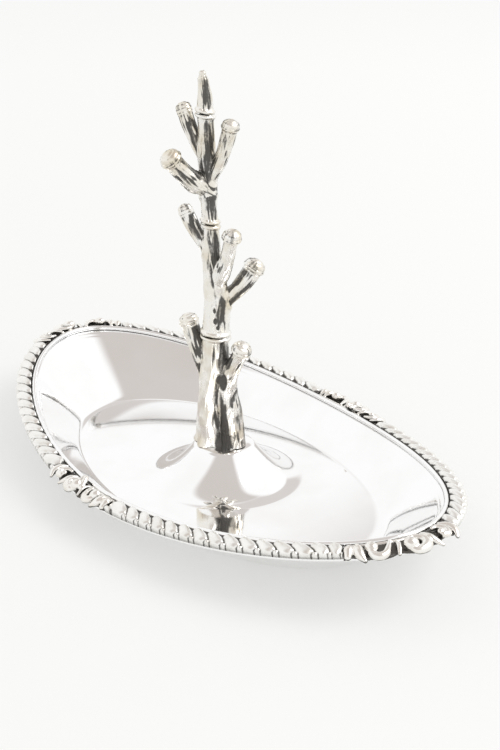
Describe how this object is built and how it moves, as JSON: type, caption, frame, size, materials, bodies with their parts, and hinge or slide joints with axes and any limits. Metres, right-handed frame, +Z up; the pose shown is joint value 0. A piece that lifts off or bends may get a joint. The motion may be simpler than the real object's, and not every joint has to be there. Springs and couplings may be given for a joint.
{
  "type": "ring tree",
  "caption": "Silver ring tree: oval dish with a gadrooned border and scroll mounts, and a cast tree with cut-off branches on a raised dome.",
  "frame": {"origin": "on the table, under the centre of the dish", "axes": "+Z up, +X along the dish's long axis, +Y along its short axis"},
  "size_m": [0.1306, 0.0732, 0.0847],
  "materials": {
    "polished_silver": "sterling silver, polished to a mirror",
    "border_silver": "pressed sterling silver, polished lobes with dark oxide in the grooves",
    "mount_silver": "cast sterling silver, bright scrolls on a dark oxidised ground",
    "tree_silver": "cast sterling silver, bright bark with dark oxide in the furrows",
    "fixing_silver": "plain turned silver, unpolished"
  },
  "bodies": {
    "root": {"dish": "polished_silver", "rim_bead": "polished_silver", "gadroon_1": "border_silver", "gadroon_2": "border_silver", "gadroon_3": "border_silver", "gadroon_4": "border_silver", "scroll_mount_east": "mount_silver", "scroll_mount_north": "mount_silver", "scroll_mount_west": "mount_silver", "scroll_mount_south": "mount_silver", "trunk_lower": "tree_silver", "trunk_middle": "tree_silver", "trunk_upper": "tree_silver", "trunk_tip": "tree_silver", "branch_low_left": "tree_silver", "branch_low_right": "tree_silver", "branch_mid_right": "tree_silver", "branch_mid_front": "tree_silver", "branch_mid_left": "tree_silver", "branch_top_front": "tree_silver", "branch_top_right": "tree_silver", "branch_top_left": "tree_silver", "fixing_stud": "fixing_silver", "fixing_washer": "fixing_silver", "fixing_nut": "fixing_silver"}
  },
  "joints": []
}
